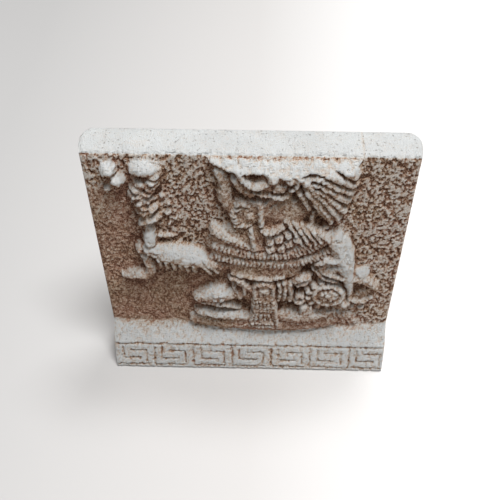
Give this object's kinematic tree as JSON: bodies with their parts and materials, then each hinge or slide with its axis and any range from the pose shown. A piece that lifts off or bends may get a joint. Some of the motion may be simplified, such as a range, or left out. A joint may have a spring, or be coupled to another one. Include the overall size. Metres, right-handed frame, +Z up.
{
  "type": "wall plaque",
  "caption": "Square cast-stone relief plaque with a seated figure in profile, on its own deep foot with a fret band.",
  "frame": {"origin": "middle of the underside", "axes": "+Z up, the carved front faces -Y, the flat back faces +Y, +X to the right seen from the front"},
  "size_m": [0.2028, 0.04, 0.2],
  "materials": {
    "cast_stone": "rough sand-cast, with a brown wash in the hollows"
  },
  "bodies": {
    "root": {"plaque": "cast_stone"}
  },
  "joints": []
}
